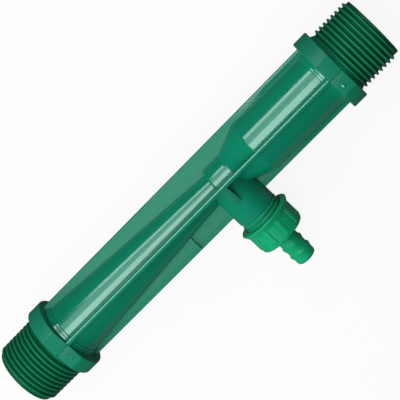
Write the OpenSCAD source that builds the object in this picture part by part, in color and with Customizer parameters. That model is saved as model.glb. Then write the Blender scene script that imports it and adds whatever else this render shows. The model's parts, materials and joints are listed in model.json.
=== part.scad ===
// Venturi fertilizer injector, in millimetres.
// The origin is the centre of the inlet mouth, +X runs with the flow,
// the suction port points along +Y and the injector lies on the flats of its collars.

/* [Pipe ends] */
// Outside diameter of the pipe thread on both spigots
thread_d = 33.2; // [26:0.1:42]
// Length of each spigot, from its mouth to the collar
spigot_len = 22.2; // [16:0.1:32]
// Depth of the pipe thread
thread_depth = 1.45; // [0.8:0.05:2]
// Length of the plain lead-in ahead of the thread
lead_len = 1; // [0.8:0.1:5]
// Wall of a spigot below its thread
spigot_wall = 3.4; // [2.5:0.1:4.5]
// Chamfer round the mouth of each spigot
mouth_chamfer = 0.6; // [0.2:0.1:1]

/* [Collars] */
// Height of a collar's flats above the pipe thread
collar_proud = 0.3; // [0.1:0.05:3]
// Diameter of each collar across its round sides
collar_d = 38.2; // [36:0.1:48]
// Chamfer round both rims of each collar
collar_chamfer = 0.6; // [0.2:0.1:1.5]
// Thickness of each collar
collar_len = 7.6; // [4:0.1:14]

/* [Tube] */
// Wall of the tube and of both cones
wall = 2.4; // [1.6:0.1:3.4]
// Length of the straight inlet, from the collar to the converging cone
inlet_len = 43.6; // [20:0.1:80]
// Length of the converging cone
converge_len = 13.5; // [8:0.1:30]
// Length of the throat
throat_len = 10.4; // [8:0.1:20]
// Length of the diverging cone, from the throat to the outlet collar
diverge_len = 94.9; // [60:0.1:160]
// Bore of the throat
throat_bore_d = 9.2; // [7:0.1:11]
// Step from the thin end of the diverging cone up to the throat
throat_step = 1.95; // [0.5:0.05:3]
// Radius that blends the converging cone into the throat
throat_fillet = 10; // [2:0.5:12]

/* [Fins] */
// Depth of the fins' outer edges below the collars' flats
fin_inset = 0.3; // [0.1:0.05:1]
// Thickness of a fin
fin_t = 2.2; // [1.4:0.1:4]
// Rounding of a fin's outer edges
fin_edge_r = 0.5; // [0.2:0.1:0.6]
// Distance of the cross rib on the port's fin from the end of the throat
rib_x = 25.5; // [20:0.5:50]
// Thickness of the cross rib
rib_t = 1.2; // [0.8:0.1:2]
// Height of the cross rib above the face of its fin
rib_h = 1.2; // [0.6:0.1:2]
// Distance of the cross rib from the fin's outer edge
rib_inset = 0.7; // [0.5:0.1:2]

/* [Suction port] */
// Distance of the port's axis from the downstream end of the throat
port_inset = 4.7; // [3:0.1:7]
// Wall of the boss round the valve chamber
boss_wall = 3.5; // [2:0.1:5]
// Length of boss that shows between the fin's edge and the cap
boss_show = 8.6; // [3:0.1:15]
// Thickness of the webs that tie the boss to the fins beside it
web_t = 3.1; // [1.4:0.1:4]
// Distance of the webs from the port's axis, towards the outlet
web_offset = 1.4; // [0:0.1:3]
// Distance from the flow axis at which the webs run out on the boss
web_reach = 11.3; // [8:0.1:15]
// Diameter of the suction hole into the throat
suction_d = 4.8; // [3:0.1:6]

/* [Check valve] */
// Diameter of the ball
ball_d = 10; // [8.5:0.1:11.5]
// Travel of the ball from its seat to its stop
ball_lift = 3; // [1:0.1:6]
// Gap round the ball at its guides
guide_gap = 0.25; // [0.1:0.05:0.5]
// Height of the guide ribs above the chamber's wall
guide_h = 1.4; // [0.8:0.1:1.6]
// Thickness of the guide ribs
guide_t = 1.8; // [1:0.1:3]
// Number of guide ribs
guide_count = 4; // [3:1:6]
// Gap left at the seat and at the stop
rest_gap = 0.1; // [0.05:0.05:0.3]
// Hole of the seat washer
seat_d = 6.8; // [5.4:0.1:8]
// Thickness of the seat washer
washer_t = 1.6; // [1:0.1:3]

/* [Suction cap] */
// Radial gap between the boss and the cap
cap_gap = 0.2; // [0.1:0.05:0.5]
// Wall of the cap's skirt
cap_wall = 1.3; // [1:0.1:3]
// Length of the skirt, from its mouth to the washer
skirt_len = 11.2; // [8:0.1:16]
// Thickness of the cap's end
cap_end_t = 1.6; // [1.4:0.1:4]
// Rounding of the cap's end
cap_end_r = 1.2; // [0.5:0.1:3]
// Width of the flared lip beyond the skirt
lip_w = 1.7; // [0.6:0.1:3]
// Distance of the lip's widest point from the mouth
lip_h = 0.6; // [0.4:0.1:2.5]
// Length of the flare that leads from the lip into the skirt
flare_len = 3.3; // [1:0.1:5]
// Height of the grip ribs
grip_h = 0.4; // [0.2:0.05:1]
// Width of a grip rib
grip_w = 2.2; // [0.5:0.1:4]
// Distance of the grip ribs' ends from the rounding of the cap's end
grip_inset = 0.5; // [0.3:0.1:3]
// Number of grip ribs
grip_count = 10; // [6:1:24]

/* [Hose barb] */
// Diameter of the barb's stem
stem_d = 10.1; // [8:0.1:12]
// Wall of the barb's stem
stem_wall = 2.45; // [1.4:0.05:3]
// Height of the barb's ridges above the stem
ridge_h = 0.6; // [0.3:0.05:1.5]
// Distance from the cap's end to the first ridge
ridge_first = 5.4; // [3:0.1:6]
// Distance between the ridges
ridge_pitch = 5; // [4.4:0.1:8]
// Length of a ridge's steep face, towards the cap
ridge_steep = 1; // [0.4:0.1:2]
// Length of a ridge's sloping face, towards the tip
ridge_slope = 2.2; // [1:0.1:3]
// Length of the stem past the last ridge
tip_len = 5.4; // [4:0.1:10]
// Rounding of the barb's tip
tip_r = 1.3; // [0.4:0.1:2]

/* [Hidden] */
$fn = 96;

// Steps of an arc in an outline
arc_steps = 8;

// A cut or a buried end runs this far past the face that it meets
over = 1;

// Stations along the flow axis
inlet_collar_x = spigot_len;
inlet_x = inlet_collar_x + collar_len;
converge_x = inlet_x + inlet_len;
throat_x = converge_x + converge_len;
diverge_x = throat_x + throat_len;
outlet_collar_x = diverge_x + diverge_len;
outlet_x = outlet_collar_x + collar_len;
body_len = outlet_x + spigot_len;
port_x = diverge_x - port_inset;

// Radii about the flow axis
thread_r = thread_d / 2;
lead_r = thread_r - thread_depth;
bore_r = lead_r - spigot_wall;
tube_r = bore_r + wall;
throat_bore_r = throat_bore_d / 2;
diverge_small_r = throat_bore_r + wall;
throat_r = diverge_small_r + throat_step;
flat_r = thread_r + collar_proud;
collar_r = collar_d / 2;
fin_r = flat_r - fin_inset;

// Slope of the converging cone, and the centre of the arc that blends it into the throat
converge_slope = atan((tube_r - throat_r) / converge_len);
blend_centre = [throat_r + throat_fillet, throat_x + throat_fillet * tan(converge_slope / 2)];

// Suction port, measured from the flow axis
guide_r = ball_d / 2 + guide_gap;
chamber_r = guide_r + guide_h;
boss_r = chamber_r + boss_wall;
chamber_floor = throat_r + wall;
cap_mouth_y = fin_r + boss_show;
cap_inner_y = cap_mouth_y + skirt_len;
boss_len = cap_inner_y - washer_t;
seat_height = sqrt(pow(ball_d, 2) - pow(seat_d, 2)) / 2;
stop_height = sqrt(pow(ball_d, 2) - pow(suction_d, 2)) / 2;
ball_y = boss_len - seat_height - rest_gap;
stop_y = ball_y - ball_lift - stop_height - rest_gap;

// Suction cap, measured from its mouth
cap_bore_r = boss_r + cap_gap;
skirt_r = cap_bore_r + cap_wall;
lip_r = skirt_r + lip_w;
lip_turn = atan(lip_w / flare_len);
cap_h = skirt_len + cap_end_t;
ridge_ys = [cap_h + ridge_first, cap_h + ridge_first + ridge_pitch];
barb_end = ridge_ys[1] + tip_len;
stem_r = stem_d / 2;
barb_bore_r = stem_r - stem_wall;

// Points of an arc round a centre, between two angles
function arc(centre, r, from, to) = [
    for (i = [0 : arc_steps])
        let (a = from + (to - from) * i / arc_steps)
            centre + r * [cos(a), sin(a)]
];

// Turns a shape drawn round +Z so that it lies along the flow
module along_flow(x = 0) {
    translate([x, 0, 0])
        rotate([0, 90, 0])
            children();
}

// Turns a shape drawn round +Z so that it stands on the suction port's axis
module along_port(y = 0) {
    translate([port_x, y, 0])
        rotate([-90, 0, 0])
            children();
}

// Rectangle about the origin with rounded corners
module rounded_bar(w, t, r) {
    square([w - 2 * r, t], center = true);
    square([w, t - 2 * r], center = true);
    for (sx = [-1, 1], sy = [-1, 1])
        translate([sx * (w / 2 - r), sy * (t / 2 - r)])
            circle(r);
}

// Outside of the tube: straight inlet, converging cone, throat and diverging cone
module tube_outside() {
    along_flow()
        rotate_extrude()
            polygon(concat(
                [[0, inlet_collar_x], [tube_r, inlet_collar_x], [tube_r, converge_x]],
                arc(blend_centre, throat_fillet, 180 + converge_slope, 180),
                [[throat_r, diverge_x], [diverge_small_r, diverge_x],
                    [tube_r, outlet_collar_x], [tube_r, outlet_x], [0, outlet_x]]
            ));
}

// Water passage from mouth to mouth
module passage() {
    along_flow()
        rotate_extrude()
            polygon([
                [0, -over], [bore_r, -over], [bore_r, converge_x], [throat_bore_r, throat_x],
                [throat_bore_r, diverge_x], [bore_r, outlet_collar_x],
                [bore_r, body_len + over], [0, body_len + over]
            ]);
}

// Spigot for the pipe thread, with its mouth at the origin
module spigot() {
    rotate_extrude()
        polygon([
            [0, 0], [lead_r - mouth_chamfer, 0], [lead_r, mouth_chamfer], [lead_r, lead_len],
            [thread_r, lead_len + thread_depth], [thread_r, spigot_len + over], [0, spigot_len + over]
        ]);
}

// Round collar with chamfered rims and a flat on top and below
module collar() {
    rim = collar_r - collar_chamfer;
    intersection() {
        rotate_extrude()
            polygon([
                [0, 0], [rim, 0], [collar_r, collar_chamfer],
                [collar_r, collar_len - collar_chamfer], [rim, collar_len], [0, collar_len]
            ]);
        translate([-flat_r, -collar_d, -over])
            cube([2 * flat_r, 2 * collar_d, collar_len + 2 * over]);
    }
}

// Four fins that run from collar to collar
module fins() {
    along_flow(inlet_x - over)
        linear_extrude(outlet_collar_x - inlet_x + 2 * over) {
            rounded_bar(2 * fin_r, fin_t, fin_edge_r);
            rounded_bar(fin_t, 2 * fin_r, fin_edge_r);
        }
}

// Small cross rib on both faces of the fin that carries the port
module cross_rib() {
    h = fin_t + 2 * rib_h;
    translate([diverge_x + rib_x - rib_t / 2, throat_bore_r + wall / 2, -h / 2])
        cube([rib_t, fin_r - rib_inset - throat_bore_r - wall / 2, h]);
}

// Webs from the edges of the upper and lower fins down to the boss
module port_webs() {
    top = fin_r - fin_edge_r;
    translate([port_x + web_offset, 0, 0])
        rotate([90, 0, 90])
            linear_extrude(web_t, center = true)
                polygon([[0, top], [fin_t / 2, top], [web_reach, boss_r],
                    [web_reach, -boss_r], [fin_t / 2, -top], [0, -top]]);
}

// Chamber of the check valve, with ribs that guide the ball and stop it short of the hole
module chamber() {
    along_port(chamber_floor)
        difference() {
            cylinder(r = chamber_r, h = boss_len - chamber_floor + over);
            for (i = [0 : guide_count - 1])
                rotate(i * 360 / guide_count + 45) {
                    translate([guide_r, -guide_t / 2, -over])
                        cube([guide_h + over, guide_t, boss_len - chamber_floor - washer_t + over]);
                    translate([suction_d / 2, -guide_t / 2, -over])
                        cube([guide_r, guide_t, stop_y - chamber_floor + over]);
                }
        }
    along_port()
        cylinder(d = suction_d, h = chamber_floor + over);
}

// One-piece moulding: tube, fins, collars, spigots and the boss of the suction port
module injector_body() {
    color([0, 0.45, 0.34])
        difference() {
            union() {
                tube_outside();
                fins();
                cross_rib();
                port_webs();
                along_flow()
                    spigot();
                along_flow(body_len)
                    rotate([180, 0, 0])
                        spigot();
                for (x = [inlet_collar_x, outlet_collar_x])
                    along_flow(x)
                        collar();
                along_port()
                    cylinder(r = boss_r, h = boss_len);
            }
            passage();
            chamber();
        }
}

// Outline of the cap and barb, with the mouth of the skirt at zero
module cap_outline() {
    ridges = [
        for (y = ridge_ys)
            each [[stem_r, y - ridge_steep], [stem_r + ridge_h, y], [stem_r, y + ridge_slope]]
    ];
    polygon(concat(
        [[0, 0]],
        arc([lip_r - lip_h, lip_h], lip_h, -90, lip_turn),
        [[skirt_r, lip_h + flare_len]],
        arc([skirt_r - cap_end_r, cap_h - cap_end_r], cap_end_r, 0, 90),
        [[stem_r, cap_h]],
        ridges,
        arc([stem_r - tip_r, barb_end - tip_r], tip_r, 0, 90),
        [[0, barb_end]]
    ));
}

// Screw cap of the suction port with its hose barb, in one piece
module suction_cap() {
    grip_len = cap_h - cap_end_r - grip_inset - lip_h;
    color([0.03, 0.55, 0.36])
        along_port(cap_mouth_y)
            difference() {
                union() {
                    rotate_extrude()
                        cap_outline();
                    for (i = [0 : grip_count - 1])
                        rotate(i * 360 / grip_count)
                            translate([cap_bore_r + cap_wall / 2, -grip_w / 2, lip_h])
                                cube([cap_wall / 2 + grip_h, grip_w, grip_len]);
                }
                translate([0, 0, -over])
                    cylinder(r = cap_bore_r, h = skirt_len + over);
                cylinder(r = barb_bore_r, h = barb_end + over);
            }
}

// Rubber washer that seals the cap and seats the ball
module seat_washer() {
    color([0.08, 0.08, 0.08])
        along_port(boss_len)
            difference() {
                cylinder(r = boss_r, h = washer_t);
                translate([0, 0, -over])
                    cylinder(d = seat_d, h = washer_t + 2 * over);
            }
}

// Ball of the check valve, on its seat
module check_ball() {
    color([0.93, 0.93, 0.9])
        along_port(ball_y)
            sphere(d = ball_d);
}

injector_body();
suction_cap();
seat_washer();
check_ball();
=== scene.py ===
"""Looks of a venturi fertilizer injector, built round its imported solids.

The frame is that of the solids: the origin is the centre of the inlet mouth, +X runs with the flow
and the suction port points along +Y. Shapes are drawn in millimetres and brought to metres at the end.
"""

import json
from functools import cached_property
from math import atan, cos, degrees, hypot, pi, radians, sin, sqrt, tan

import bmesh
import bpy
from mathutils import Matrix, Vector


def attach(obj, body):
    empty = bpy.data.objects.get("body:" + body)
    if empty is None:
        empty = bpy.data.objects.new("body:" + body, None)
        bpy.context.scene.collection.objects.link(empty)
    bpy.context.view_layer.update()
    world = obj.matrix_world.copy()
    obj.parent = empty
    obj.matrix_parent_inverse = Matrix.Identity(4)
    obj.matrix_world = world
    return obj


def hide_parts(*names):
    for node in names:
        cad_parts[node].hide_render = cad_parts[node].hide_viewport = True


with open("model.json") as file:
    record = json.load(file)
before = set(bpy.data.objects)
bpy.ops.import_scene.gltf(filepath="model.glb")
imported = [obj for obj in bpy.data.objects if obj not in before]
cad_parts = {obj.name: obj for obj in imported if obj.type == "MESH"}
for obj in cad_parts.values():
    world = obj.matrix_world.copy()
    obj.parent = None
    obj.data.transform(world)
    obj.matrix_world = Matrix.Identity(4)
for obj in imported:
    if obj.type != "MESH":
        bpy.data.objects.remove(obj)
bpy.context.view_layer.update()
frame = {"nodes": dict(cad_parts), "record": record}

MM = 0.001
FLOW = Vector((1, 0, 0))

# Stations along the flow
mounts = {mount["name"]: mount for mount in frame["record"]["mounts"]}
spigot_thread = mounts["inlet_thread"]
BODY_LEN = mounts["outlet_bore"]["pos_m"][0] / MM
INLET_COLLAR = spigot_thread["pos_m"][0] / MM + spigot_thread["dims"]["length_mm"] / 2
COLLAR_LEN = 7.6
INLET_X = INLET_COLLAR + COLLAR_LEN
CONVERGE_X = mounts["inlet_bore"]["dims"]["length_mm"]
CONVERGE_LEN = 13.5
THROAT_X = CONVERGE_X + CONVERGE_LEN
THROAT_LEN = 10.4
DIVERGE_X = THROAT_X + THROAT_LEN
OUTLET_X = BODY_LEN - INLET_COLLAR
OUTLET_COLLAR = OUTLET_X - COLLAR_LEN

# Radii about the flow
WALL = 2.4
CREST_R = spigot_thread["dims"]["r_mm"]
THREAD_DEPTH = 1.45
ROOT_R = CREST_R - THREAD_DEPTH
BORE_R = mounts["inlet_bore"]["dims"]["r_mm"]
TUBE_R = BORE_R + WALL
THROAT_BORE_R = 4.6
THROAT_STEP = 1.95
DIVERGE_R = THROAT_BORE_R + WALL
THROAT_R = DIVERGE_R + THROAT_STEP
COLLAR_R = 19.1
FLAT_R = -mounts["rest_flat"]["pos_m"][2] / MM
FIN_INSET = 0.3
FIN_R = FLAT_R - FIN_INSET
FIN_T = 2.2

# Suction port: places are measured from the flow's axis, radii from the port's
PORT_X, TIP = [mounts["hose_barb"]["pos_m"][axis] / MM for axis in (0, 1)]
RIDGE_R = mounts["hose_barb"]["dims"]["r_mm"]
BARB_BORE_R = mounts["barb_bore"]["dims"]["r_mm"]
CAP_INNER = TIP - mounts["barb_bore"]["dims"]["length_mm"]
CAP_T = 1.6
CAP_END = CAP_INNER + CAP_T
SKIRT_LEN = 11.2
CAP_MOUTH = CAP_INNER - SKIRT_LEN
WASHER_T = 1.6
BOSS_END = CAP_INNER - WASHER_T
GUIDE_R = 5.25
GUIDE_H = 1.4
CHAMBER_R = GUIDE_R + GUIDE_H
BOSS_WALL = 3.5
BOSS_R = CHAMBER_R + BOSS_WALL
CHAMBER_FLOOR = THROAT_R + WALL
SUCTION_R = 2.4

# Finishes of the body, by their place in its list of materials
TUBE, SATIN, THREAD, COLLAR = range(4)


# Outlines and turned shapes

def arc(along, radius, r, start, end, steps=6):
    """Points (along, radius) on an arc, with angles from the axis."""
    turns = [radians(start + (end - start) * i / steps) for i in range(steps + 1)]
    return [(along + r * cos(a), radius + r * sin(a)) for a in turns]


def closed_outline(bm, points):
    """Vertices and edges of an outline of (along, radius) points, in the XY plane."""
    verts = [bm.verts.new((along, radius, 0)) for along, radius in points]
    edges = [bm.edges.new((verts[i - 1], v)) for i, v in enumerate(verts)]
    return verts + edges


def turned(outline, steps):
    """A closed outline, turned about the flow's axis."""
    bm = bmesh.new()
    bmesh.ops.spin(
        bm, geom=closed_outline(bm, outline), axis=FLOW, cent=(0, 0, 0),
        angle=2 * pi, steps=steps, use_merge=True,
    )
    bmesh.ops.recalc_face_normals(bm, faces=bm.faces)
    return bm


def plate(points, thickness):
    """A flat outline in the XY plane, given a thickness about that plane."""
    bm = bmesh.new()
    face = bm.faces.new([bm.verts.new((x, y, -thickness / 2)) for x, y in points])
    grown = bmesh.ops.extrude_face_region(bm, geom=[face])["geom"]
    bmesh.ops.translate(
        bm, vec=(0, 0, thickness), verts=[v for v in grown if isinstance(v, bmesh.types.BMVert)]
    )
    bmesh.ops.recalc_face_normals(bm, faces=bm.faces)
    return bm


def block(size, centre):
    bm = bmesh.new()
    bmesh.ops.create_cube(bm, size=1)
    bmesh.ops.scale(bm, vec=size, verts=bm.verts)
    bmesh.ops.translate(bm, vec=centre, verts=bm.verts)
    return bm


def soften(bm, edges, width, segments=3):
    bmesh.ops.bevel(
        bm, geom=edges, offset=width, offset_type="OFFSET", segments=segments, profile=0.5,
        affect="EDGES", material=-1, clamp_overlap=True,
    )


def cut(bm, place, across, drop=False):
    """Cuts the shape by a plane; drop takes away what lies on the side that the plane faces."""
    made = bmesh.ops.bisect_plane(
        bm, geom=bm.verts[:] + bm.edges[:] + bm.faces[:], plane_co=place, plane_no=across,
        clear_outer=drop,
    )
    return [e for e in made["geom_cut"] if isinstance(e, bmesh.types.BMEdge)]


def turn(bm, angle, axis="X"):
    bmesh.ops.transform(bm, matrix=Matrix.Rotation(radians(angle), 4, axis), verts=bm.verts)
    return bm


def move(bm, x=0, y=0, z=0):
    bmesh.ops.translate(bm, vec=(x, y, z), verts=bm.verts)
    return bm


def onto_port(bm):
    """From the flow's axis to the axis of the suction port."""
    turn(bm, 90, "Z")
    return move(bm, x=PORT_X)


def set_radius(v, radius):
    """Moves a vertex straight out from the flow's axis, or in."""
    change = radius / hypot(v.co.y, v.co.z)
    v.co.y *= change
    v.co.z *= change


def screw_thread(crest, root, pitch, first, last, phase, run_in, steps=72):
    """One right-hand thread that fades in and out at its ends; crest and root are radii."""
    foot, shoulder = root - 0.3, crest - 0.14
    tooth = [
        (-0.47, foot), (-0.44, root), (-0.12, shoulder), (-0.05, crest),
        (0.05, crest), (0.12, shoulder), (0.44, root), (0.47, foot),
    ]
    count = round((last - first) / pitch * steps)
    bm = bmesh.new()
    bmesh.ops.spin(
        bm, geom=closed_outline(bm, [(first + share * pitch, r) for share, r in tooth]),
        axis=FLOW, cent=(0, 0, 0), dvec=(pitch / steps, 0, 0), angle=2 * pi * count / steps, steps=count,
    )
    bmesh.ops.holes_fill(bm, edges=bm.edges)
    bmesh.ops.recalc_face_normals(bm, faces=bm.faces)
    for v in bm.verts:
        inward = min(v.co.x - first, last - v.co.x) + 0.3 * pitch
        fade = min(1, max(0, inward / run_in))
        fade = fade * fade * (3 - 2 * fade)
        set_radius(v, foot + (hypot(v.co.y, v.co.z) - foot) * fade)
    return turn(bm, phase)


class Moulding:
    """Closed shells gathered into one mesh, each with its own finish."""

    def __init__(self):
        self.bm = bmesh.new()

    def add(self, bm, finish=0):
        for face in bm.faces:
            face.material_index = finish
        self.keep(bm)

    def keep(self, bm):
        """Adds a shell whose faces have their finishes already."""
        shell = bpy.data.meshes.new("shell")
        bm.to_mesh(shell)
        bm.free()
        self.bm.from_mesh(shell)
        bpy.data.meshes.remove(shell)

    def finish(self, name, finishes, sharp=32):
        bmesh.ops.scale(self.bm, vec=(MM, MM, MM), verts=self.bm.verts)
        mesh = bpy.data.meshes.new(name)
        self.bm.to_mesh(mesh)
        self.bm.free()
        for finish in finishes:
            mesh.materials.append(finish.material)
        mesh.polygons.foreach_set("use_smooth", [True] * len(mesh.polygons))
        mesh.set_sharp_from_angle(angle=radians(sharp))
        obj = bpy.data.objects.new(name, mesh)
        bpy.context.scene.collection.objects.link(obj)
        return obj


# Finishes

class Value:
    """A shader socket that can stand in Python sums."""

    def __init__(self, graph, socket):
        self.graph, self.socket = graph, socket

    def math(self, operation, *values):
        return self.graph.node("ShaderNodeMath", {"operation": operation}, values)

    def __add__(self, other):
        return self.math("ADD", self, other)

    def __radd__(self, other):
        return self.math("ADD", other, self)

    def __sub__(self, other):
        return self.math("SUBTRACT", self, other)

    def __rsub__(self, other):
        return self.math("SUBTRACT", other, self)

    def __mul__(self, other):
        return self.math("MULTIPLY", self, other)

    def __rmul__(self, other):
        return self.math("MULTIPLY", other, self)

    def __abs__(self):
        return self.math("ABSOLUTE", self)


class Graph:
    """Nodes of one shader tree."""

    def __init__(self, tree):
        self.tree = tree

    def node(self, kind, settings=None, inputs=(), output=0):
        made = self.tree.nodes.new(kind)
        for name, value in (settings or {}).items():
            setattr(made, name, value)
        sockets = inputs.items() if isinstance(inputs, dict) else enumerate(inputs)
        for socket, value in sockets:
            self.put(made.inputs[socket], value)
        return Value(self, made.outputs[output])

    def put(self, socket, value):
        if isinstance(value, Value):
            self.tree.links.new(value.socket, socket)
        else:
            socket.default_value = value

    def rays(self, *kinds):
        """Share of the rays of these kinds, 0 or 1."""
        total = sum(self.node("ShaderNodeLightPath", output=kind) for kind in kinds)
        return total.math("MINIMUM", total, 1.0)


class Finish(Graph):
    """A material with one Principled shader."""

    def __init__(self, name, **constants):
        self.material = bpy.data.materials.new(name)
        self.material.use_nodes = True
        super().__init__(self.material.node_tree)
        self.shader = self.tree.nodes["Principled BSDF"]
        self.feed(**constants)

    def feed(self, **values):
        for socket, value in values.items():
            self.put(self.shader.inputs[socket.replace("_", " ")], value)

    def place(self):
        return self.node("ShaderNodeTexCoord", output="Object")

    def coordinate(self, axis):
        return self.node("ShaderNodeSeparateXYZ", inputs=(self.place(),), output=axis)

    def ramp(self, value, low, high):
        """From 0 to 1 as a value goes from low to high."""
        return self.node(
            "ShaderNodeMapRange", inputs={"Value": value, "From Min": low, "From Max": high}
        )

    def noise(self, scale, detail=2.0, roughness=0.5, stretch=(1, 1, 1)):
        """Noise from 0 to 1 with its grain in features per metre."""
        where = self.node("ShaderNodeMapping", inputs={"Vector": self.place(), "Scale": stretch})
        return self.node(
            "ShaderNodeTexNoise",
            inputs={"Vector": where, "Scale": scale, "Detail": detail, "Roughness": roughness},
        )

    def mix(self, factor, first, second):
        return self.node(
            "ShaderNodeMix", {"data_type": "RGBA"}, {0: factor, 6: first, 7: second}, output=2
        )

    @cached_property
    def patches(self):
        """Small patches that show in the colour and in the sheen."""
        return self.noise(240, detail=4, roughness=0.6)

    def tone(self, dark, light):
        """Slow clouds of colour, drawn out along the flow, with small patches in them."""
        clouds = self.noise(55, detail=3, stretch=(0.5, 1, 1))
        self.feed(Base_Color=self.mix(0.6 * clouds + 0.4 * self.patches, rgba(*dark), rgba(*light)))

    def sheen(self, roughness):
        """A sheen that comes and goes."""
        self.feed(Roughness=roughness - 0.06 + 0.12 * self.patches)

    def grain(self, strength):
        """The fine skin of a moulding."""
        skin = {"Height": self.noise(2600), "Strength": strength, "Distance": 0.1 * MM}
        self.feed(Normal=self.node("ShaderNodeBump", inputs=skin))


def rgba(r, g, b):
    return (r, g, b, 1.0)


def moulded(name, dark, light, roughness, grain, **constants):
    """Moulded plastic or rubber with two tones, a sheen and a grain."""
    finish = Finish(name, **constants)
    finish.tone(dark, light)
    finish.sheen(roughness)
    finish.grain(grain)
    return finish


GREEN_GLOSS = rgba(0.74, 1.0, 0.97)


def fin_satin():
    """Sides of the fins: polished beside the inlet, satin from the cone on and frosted at their edges."""
    finish = Finish("satin_green", IOR=1.65, Specular_Tint=GREEN_GLOSS)
    finish.tone((0.003, 0.138, 0.078), (0.006, 0.166, 0.094))
    finish.grain(0.12)
    dulled = finish.ramp(finish.coordinate("X"), 0.052, 0.075)
    frosted = finish.ramp(abs(finish.coordinate("Y")), 0.011, 0.015)
    finish.feed(Roughness=0.05 + dulled * (0.33 + 0.32 * frosted) + 0.08 * finish.patches)
    return finish


def thread_with_painted_shade():
    """Threads: painted shade darkens the roots and a painted highlight pales them towards the crests."""
    finish = Finish(
        "thread_green", IOR=1.5, Specular_IOR_Level=0.25, Specular_Tint=rgba(0.45, 1.0, 0.88)
    )
    finish.sheen(0.42)
    finish.grain(0.08)
    across = finish.node("ShaderNodeVectorMath", {"operation": "MULTIPLY"}, (finish.place(), (0, 1, 1)))
    radius = finish.node("ShaderNodeVectorMath", {"operation": "LENGTH"}, (across,), output="Value")
    # Painted light by radius: dark at the roots, where shade falls, and paler towards the lit crests.
    painted_light_by_radius = finish.ramp(radius, (ROOT_R + 0.05) * MM, CREST_R * MM)
    finish.feed(Base_Color=finish.mix(
        painted_light_by_radius * (0.85 + 0.3 * finish.patches), rgba(0.0005, 0.050, 0.018), rgba(0.004, 0.162, 0.079)
    ))
    return finish


tube_green = moulded(
    "tube_green", (0.001, 0.130, 0.072), (0.002, 0.155, 0.088), roughness=0.12, grain=0.02,
    IOR=1.6, Specular_Tint=GREEN_GLOSS,
)
satin_green = fin_satin()
thread_green = thread_with_painted_shade()
collar_green = moulded(
    "collar_green", (0.001, 0.118, 0.064), (0.002, 0.144, 0.080), roughness=0.42, grain=0.06,
    IOR=1.5, Specular_IOR_Level=0.25, Specular_Tint=GREEN_GLOSS,
)
cap_green = moulded(
    "cap_green", (0.002, 0.212, 0.090), (0.004, 0.262, 0.112), roughness=0.36, grain=0.06,
    IOR=1.45, Specular_IOR_Level=0.3, Specular_Tint=GREEN_GLOSS,
)
ball_white = moulded(
    "ball_white", (0.72, 0.72, 0.68), (0.82, 0.82, 0.79), roughness=0.3, grain=0.03
)
washer_black = moulded(
    "washer_black", (0.012, 0.012, 0.012), (0.03, 0.03, 0.03), roughness=0.6, grain=0.25
)


# Body

body = Moulding()


def flip(points):
    """The same outline at the outlet's end."""
    return [(BODY_LEN - along, radius) for along, radius in reversed(points)]


# Tube with its cones and throat; each end has a spigot, a neck and two low rings beside the collar
MOUTH_R = 0.3
BORE_ROUND = 0.4
RING_STEP = 0.38
BLEND_R = 8.0
EDGE_R = 0.9
spigot_mouth = [
    (BORE_ROUND, BORE_R), (BORE_ROUND / 4, BORE_R + BORE_ROUND / 4), (0, BORE_R + BORE_ROUND),
    (0, ROOT_R - MOUTH_R),
] + arc(MOUTH_R, ROOT_R - MOUTH_R, MOUTH_R, 180, 90)
neck = [
    (INLET_COLLAR - 1.9, ROOT_R), (INLET_COLLAR - 0.2, ROOT_R + 0.9), (INLET_COLLAR + 1, ROOT_R + 1.2),
]
inlet_rings = [
    (INLET_X - 2, TUBE_R + 2 * RING_STEP), (INLET_X + 0.9, TUBE_R + 2 * RING_STEP),
    (INLET_X + 1.15, TUBE_R + 1.7 * RING_STEP), (INLET_X + 1.25, TUBE_R + RING_STEP),
    (INLET_X + 2.1, TUBE_R + RING_STEP), (INLET_X + 2.35, TUBE_R + 0.7 * RING_STEP),
    (INLET_X + 2.5, TUBE_R),
]
slope = atan((TUBE_R - THROAT_R) / CONVERGE_LEN)
tube_outline = (
    spigot_mouth
    + neck
    + inlet_rings
    + [(CONVERGE_X - 1, TUBE_R), (CONVERGE_X - 0.3, TUBE_R - 0.06), (CONVERGE_X + 0.4, TUBE_R - 0.3)]
    + arc(
        THROAT_X + BLEND_R * tan(slope / 2), THROAT_R + BLEND_R, BLEND_R,
        -90 - degrees(slope), -90,
    )
    + arc(DIVERGE_X - EDGE_R, THROAT_R - EDGE_R, EDGE_R, 90, 0)
    + [(DIVERGE_X, DIVERGE_R + 0.25), (DIVERGE_X + 0.3, DIVERGE_R + 0.05)]
    + [(OUTLET_COLLAR - 2.5, TUBE_R - 0.2)]
    + flip(inlet_rings)[1:]
    + flip(neck)
    + flip(spigot_mouth)
    + [(OUTLET_COLLAR, BORE_R), (DIVERGE_X, THROAT_BORE_R), (THROAT_X, THROAT_BORE_R), (CONVERGE_X, BORE_R)]
)
tube = turned(tube_outline, 160)
# The spigots and necks take the thread finish, so its painted shade darkens them at small radii.
for face in tube.faces:
    x = face.calc_center_median().x
    face.material_index = THREAD if x < INLET_COLLAR or x > OUTLET_X else TUBE
body.keep(tube)

# Pipe threads on both spigots, a little slimmer towards the mouths
PITCH = 2.309
TAPER = 0.008
PHASES = (40, 280)
for end, phase in enumerate(PHASES):
    pipe_thread = screw_thread(
        CREST_R, ROOT_R, PITCH, first=1.5, last=INLET_COLLAR - 1.4, phase=phase, run_in=1.2
    )
    for v in pipe_thread.verts:
        slim = 1 - TAPER * max(0, INLET_COLLAR - v.co.x) / CREST_R
        set_radius(v, hypot(v.co.y, v.co.z) * slim)
    if end:
        turn(pipe_thread, 180, "Z")
        move(pipe_thread, x=BODY_LEN)
    body.add(pipe_thread, THREAD)

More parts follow.
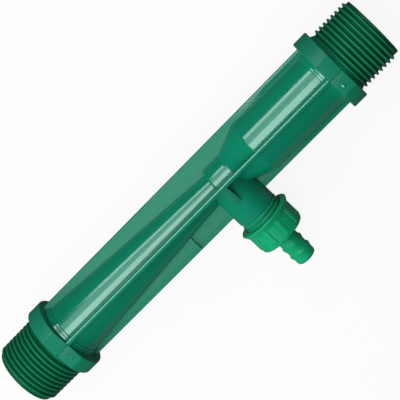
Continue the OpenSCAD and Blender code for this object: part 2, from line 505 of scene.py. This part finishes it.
# Round collars with a flat on top and below; one half of a flat sinks a little to the parting line
RIM_R = 0.6
SINK, SINK_W = 0.45, 4.5
COLLAR_ROOT_R = 0.5 * (BORE_R + ROOT_R) + 1
for x in (INLET_COLLAR, OUTLET_COLLAR):
    collar = turned(
        [(x, COLLAR_ROOT_R)]
        + arc(x + RIM_R, COLLAR_R - RIM_R, RIM_R, 180, 90)
        + arc(x + COLLAR_LEN - RIM_R, COLLAR_R - RIM_R, RIM_R, 90, 0)
        + [(x + COLLAR_LEN, COLLAR_ROOT_R)],
        256,
    )
    for v in collar.verts:
        r = hypot(v.co.y, v.co.z)
        if r > CREST_R:
            sunk = SINK * (1 - v.co.y / SINK_W) ** 2 if 0 < v.co.y < SINK_W else 0
            limit = FLAT_R - (COLLAR_R - r) - sunk
            v.co.z = min(max(v.co.z, -limit), limit)
    bmesh.ops.recalc_face_normals(collar, faces=collar.faces)
    body.add(collar, COLLAR)

# Fins from collar to collar, rooted in the wall, with a slight crown on their outer edges
FIN_ROOT = 1.1
FIN_EDGE = 0.3
CROWN_R = 3.0
CROWN_STEP = 0.25
fin_outline = [
    (INLET_X - 1, TUBE_R - FIN_ROOT), (CONVERGE_X - 2, TUBE_R - FIN_ROOT), (THROAT_X, THROAT_R - FIN_ROOT),
    (DIVERGE_X - 1, THROAT_R - FIN_ROOT), (DIVERGE_X - 1, DIVERGE_R - FIN_ROOT),
    (OUTLET_COLLAR + 1, TUBE_R - FIN_ROOT), (OUTLET_COLLAR + 1, FIN_R), (INLET_X - 1, FIN_R),
]
for quarter in range(4):
    fin = plate(fin_outline, FIN_T)
    outer = [
        e for e in fin.edges
        if all(abs(v.co.y - FIN_R) < 0.01 for v in e.verts) and e.calc_length() > FIN_T + 1
    ]
    soften(fin, outer, FIN_EDGE)
    for step in range(-3, 4):
        cut(fin, (0, 0, step * CROWN_STEP), (0, 0, 1))
    for v in fin.verts:
        if v.co.y > FIN_R - 1:
            v.co.y -= CROWN_R - sqrt(CROWN_R ** 2 - v.co.z ** 2)
    for face in fin.faces:
        face.material_index = SATIN if quarter % 2 == 0 and abs(face.normal.z) > 0.9 else TUBE
    body.keep(turn(fin, 90 * quarter))

BURIED = 0.4


def clear_of_passage(bm):
    """Keeps the foot of a shell inside the wall, out of the water passage."""
    for v in bm.verts:
        before = max(0, THROAT_X - v.co.x) / CONVERGE_LEN
        after = max(0, v.co.x - DIVERGE_X) / (OUTLET_COLLAR - DIVERGE_X)
        passage = THROAT_BORE_R + (BORE_R - THROAT_BORE_R) * min(1, max(before, after))
        if hypot(v.co.y, v.co.z) < passage + BURIED:
            set_radius(v, passage + BURIED)


# Cross rib on the fin of the suction port
RIB_X, RIB_T, RIB_H = 122.8, 1.2, 1.2
RIB_FOOT, RIB_TOP = 6.5, 15.9
rib = block((RIB_T, RIB_TOP - RIB_FOOT, FIN_T + 2 * RIB_H), (RIB_X, (RIB_FOOT + RIB_TOP) / 2, 0))
soften(rib, rib.edges[:], 0.25, 2)
clear_of_passage(rib)
body.add(rib, SATIN)

# Boss of the suction port with its valve chamber, and two cheeks that carry it down beside the throat
BOSS_FOOT = 5.2
CHEEK_H = BOSS_FOOT + 0.2
GROOVE_Y, GROOVE = 21.4, 0.5
boss_outline = [
    (BOSS_FOOT, SUCTION_R), (CHAMBER_FLOOR, SUCTION_R), (CHAMBER_FLOOR, CHAMBER_R), (BOSS_END, CHAMBER_R),
    (BOSS_END, BOSS_R - GROOVE), (GROOVE_Y, BOSS_R - GROOVE), (GROOVE_Y - 0.3, BOSS_R), (BOSS_FOOT, BOSS_R),
]
boss = onto_port(turned(boss_outline, 128))
clear_of_passage(boss)
body.add(boss, TUBE)
for side in (1, -1):
    cheek = bmesh.new()
    bmesh.ops.create_cone(
        cheek, cap_ends=True, segments=128, radius1=BOSS_R, radius2=BOSS_R, depth=CHEEK_H
    )
    turn(cheek, 90)
    move(cheek, x=PORT_X, y=CHEEK_H / 2)
    rim = cut(cheek, (0, 0, side * BOSS_FOOT), (0, 0, -side), drop=True)
    bmesh.ops.holes_fill(cheek, edges=rim)
    bmesh.ops.recalc_face_normals(cheek, faces=cheek.faces)
    clear_of_passage(cheek)
    body.add(cheek, TUBE)
boss_thread = screw_thread(
    BOSS_R + 0.16, BOSS_R - GROOVE, pitch=2.3, first=GROOVE_Y + 0.5, last=BOSS_END - 1.5,
    phase=309, run_in=0.8,
)
body.add(onto_port(boss_thread), THREAD)

# Ribs in the chamber that guide the ball and stop it short of the suction hole
GUIDES = 4
GUIDE_T = 1.8
GUIDE_ROOT = 0.5
GUIDE_END = BOSS_END - WASHER_T
STOP_END = 23.55
guide_outline = [
    (CHAMBER_FLOOR - GUIDE_ROOT, SUCTION_R), (STOP_END, SUCTION_R), (STOP_END, GUIDE_R),
    (GUIDE_END, GUIDE_R), (GUIDE_END, CHAMBER_R + GUIDE_ROOT),
    (CHAMBER_FLOOR - GUIDE_ROOT, CHAMBER_R + GUIDE_ROOT),
]
for i in range(GUIDES):
    guide = turn(plate(guide_outline, GUIDE_T), 45 + i * 360 / GUIDES)
    body.add(onto_port(guide), TUBE)

# Webs that tie the boss to the upper and lower fins
WEB_T = 3.1
WEB_X = PORT_X + 1.4
WEB_FOOT, WEB_TOP, WEB_REACH = 8.2, 16.1, 11.3
web_outline = [
    (0, WEB_FOOT), (WEB_REACH, WEB_FOOT), (WEB_REACH, BOSS_R), (FIN_T / 2, WEB_TOP), (0, WEB_TOP),
]
for side in (1, -1):
    web = plate(web_outline, WEB_T)
    sloped = [
        e for e in web.edges
        if all(v.co.x > 1 and v.co.y > 10 for v in e.verts) and e.calc_length() > WEB_T + 1
    ]
    soften(web, sloped, 0.4)
    turn(web, 90, "Z")
    turn(web, 90, "Y")
    if side < 0:
        turn(web, 180, "Y")
    move(web, x=WEB_X)
    body.add(web, SATIN)

# Gate marks on the collars' upper flats: a stub cut at a slant on the inlet's, a pip on the outlet's
STUB_R, STUB_TIP_R, STUB_H = 0.75, 0.6, 1.2
STUB_STRETCH = 1.8
STUB_SLANT = 12
PIP_R, PIP_H = 0.8, 0.4
stub = bmesh.new()
bmesh.ops.create_cone(
    stub, cap_ends=True, segments=32, radius1=STUB_R, radius2=STUB_TIP_R, depth=STUB_H
)
soften(stub, [e for e in stub.edges if all(v.co.z > 0 for v in e.verts)], 0.12)
bmesh.ops.scale(stub, vec=(1, STUB_STRETCH, 1), verts=stub.verts)
turn(stub, STUB_SLANT)
move(stub, x=INLET_COLLAR + 4.6, y=5.5, z=FLAT_R - 0.25)
body.add(stub, TUBE)
pip = bmesh.new()
bmesh.ops.create_uvsphere(pip, u_segments=24, v_segments=12, radius=1)
bmesh.ops.scale(pip, vec=(PIP_R, PIP_R, PIP_H), verts=pip.verts)
move(pip, x=OUTLET_X - 4.4, y=5.6, z=FLAT_R - 0.05)
body.add(pip, TUBE)

body_piece = body.finish(
    "injector_body_moulding", [tube_green, satin_green, thread_green, collar_green]
)
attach(body_piece, "injector")
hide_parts("injector_body")


# Suction cap with its hose barb

CAP_BORE_R = BOSS_R + 0.2
SKIRT_R = CAP_BORE_R + 1.3
LIP_R = SKIRT_R + 1.7
LIP_ROUND = 0.6
CAP_ROUND = 1.2
STEM_R = 5.05
RIDGES = (43.4, 48.4)
TIP_ROUND = 1.5

cap = Moulding()
cap_outline = [(CAP_MOUTH + 0.3, CAP_BORE_R), (CAP_MOUTH, CAP_BORE_R + 0.3)]
cap_outline += arc(CAP_MOUTH + LIP_ROUND, LIP_R - LIP_ROUND, LIP_ROUND, 180, 60, 8)
cap_outline += [
    (CAP_MOUTH + 1.6, SKIRT_R + 1.20), (CAP_MOUTH + 2.4, SKIRT_R + 0.68), (CAP_MOUTH + 3.2, SKIRT_R + 0.28),
    (CAP_MOUTH + 3.9, SKIRT_R + 0.07), (CAP_MOUTH + 4.6, SKIRT_R),
]
cap_outline += arc(CAP_END - CAP_ROUND, SKIRT_R - CAP_ROUND, CAP_ROUND, 90, 0, 8)
cap_outline += [(CAP_END, STEM_R + 0.5), (CAP_END + 0.15, STEM_R + 0.15), (CAP_END + 0.5, STEM_R)]
for ridge in RIDGES:
    cap_outline += [
        (ridge - 1.1, STEM_R), (ridge - 0.5, STEM_R + 0.2), (ridge - 0.2, RIDGE_R - 0.06),
        (ridge, RIDGE_R), (ridge + 0.3, RIDGE_R - 0.06), (ridge + 2.3, STEM_R),
    ]
cap_outline += arc(TIP - TIP_ROUND, STEM_R - TIP_ROUND, TIP_ROUND, 90, 0, 8)
cap_outline += [
    (TIP, BARB_BORE_R + 0.3), (TIP - 0.3, BARB_BORE_R), (CAP_INNER, BARB_BORE_R), (CAP_INNER, CAP_BORE_R),
]
cap.add(onto_port(turned(cap_outline, 128)))

# Grips round the skirt
GRIPS = 10
GRIP_LEN, GRIP_H, GRIP_W = 8.4, 1.2, 2.2
for i in range(GRIPS):
    grip = block((GRIP_LEN, GRIP_H, GRIP_W), (CAP_MOUTH + 6.9, SKIRT_R - 0.2, 0))
    outer = [e for e in grip.edges if any(v.co.y > SKIRT_R for v in e.verts)]
    soften(grip, outer, 0.4, 4)
    turn(grip, i * 360 / GRIPS)
    cap.add(onto_port(grip))
cap_piece = cap.finish("suction_cap_moulding", [cap_green])
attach(cap_piece, "injector")
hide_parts("suction_cap")


# Washer and ball keep their solids

for name, finish, slot in (
    ("seat_washer", washer_black, "washer_rubber"), ("check_ball", ball_white, "ball_plastic"),
):
    node = frame["nodes"][name]
    node.data.materials.clear()
    node.data.materials.append(finish.material)


# Floor: white to the camera with a share of its shadow, and dim where the plastic mirrors it

SHADOW_SHARE = 0.10
FLOOR_HALF = 6.0
FLOOR_X = 0.1
FLOOR_GAP = 0.02
floor_finish = Finish(
    "floor_white", Base_Color=rgba(0.55, 0.55, 0.55), Roughness=1.0, Specular_IOR_Level=0.0
)
seen = floor_finish.rays("Is Camera Ray", "Is Transmission Ray")
mirrored = floor_finish.rays("Is Glossy Ray")
dimmed = 0.95 - 0.1 * floor_finish.ramp(floor_finish.coordinate("Y"), 0.0, 0.05)
glow = floor_finish.node("ShaderNodeEmission", inputs={"Color": 1 - dimmed * mirrored})
shaded = Value(floor_finish, floor_finish.shader.outputs[0])
blend = floor_finish.node(
    "ShaderNodeMixShader", inputs=(seen * (1 - SHADOW_SHARE) + mirrored, shaded, glow)
)
floor_finish.put(floor_finish.tree.nodes["Material Output"].inputs["Surface"], blend)

sheet = bmesh.new()
bmesh.ops.create_grid(sheet, x_segments=1, y_segments=1, size=FLOOR_HALF)
move(sheet, x=FLOOR_X, z=-(FLAT_R + FLOOR_GAP) * MM)
floor_mesh = bpy.data.meshes.new("floor")
sheet.to_mesh(floor_mesh)
sheet.free()
floor_mesh.materials.append(floor_finish.material)
floor = bpy.data.objects.new("floor", floor_mesh)
bpy.context.scene.collection.objects.link(floor)


# World and lamps

ROOM_LIGHT = 0.05
world = bpy.data.worlds.new("room")
bpy.context.scene.world = world
world.use_nodes = True
room = Graph(world.node_tree)
backdrop = world.node_tree.nodes["Background"]
room.put(
    backdrop.inputs["Color"],
    ROOM_LIGHT + (1 - ROOM_LIGHT) * room.rays("Is Camera Ray", "Is Transmission Ray"),
)

MIDDLE = Vector((0.107, 0, 0))


def panel(name, place, width, length, power, gloss=True, aim=MIDDLE):
    """A soft panel of light; its length lies along the flow."""
    lamp = bpy.data.lights.new(name, "AREA")
    lamp.shape = "RECTANGLE"
    lamp.size, lamp.size_y = length, width
    lamp.energy = power
    holder = bpy.data.objects.new(name, lamp)
    holder.location = place
    holder.rotation_mode = "QUATERNION"
    holder.rotation_quaternion = (aim - Vector(place)).to_track_quat("-Z", "Y")
    holder.visible_glossy = gloss
    bpy.context.scene.collection.objects.link(holder)


def strip(name, x, angle, distance, width, length, power):
    """A panel above the part, at an angle from upright towards the suction port's side."""
    place = (x, distance * sin(radians(angle)), distance * cos(radians(angle)))
    panel(name, place, width, length, power, aim=Vector((x, 0, 0)))


strip("ceiling", x=0.25, angle=-27, distance=0.8, width=0.68, length=0.62, power=3.1)
strip("broad_strip", x=0.245, angle=-16.8, distance=0.75, width=0.31, length=0.42, power=2.1)
strip("thin_strip", x=-0.03, angle=-57, distance=0.75, width=0.15, length=0.62, power=1.9)
panel("key", (0.85, 0.05, 0.33), width=0.4, length=0.4, power=5.4, gloss=False)
panel("fill", (0.42, 0.25, 0.8), width=0.7, length=0.7, power=3.5, gloss=False)


# Camera

PHOTO_SIDE = 400
FOCAL_PIXELS = 1185.06
CAMERA_PLACE = (0.0226758, -0.1073846, 0.5094962)
CAMERA_TURN = (-14.854573, -2.048096, 134.143227)
lens = bpy.data.cameras.new("camera")
lens.sensor_width = 36
lens.lens = FOCAL_PIXELS * lens.sensor_width / PHOTO_SIDE
camera = bpy.data.objects.new("camera", lens)
camera.location = CAMERA_PLACE
camera.rotation_euler = [radians(angle) for angle in CAMERA_TURN]
bpy.context.scene.collection.objects.link(camera)
bpy.context.scene.camera = camera
bpy.context.scene.view_settings.view_transform = "Standard"
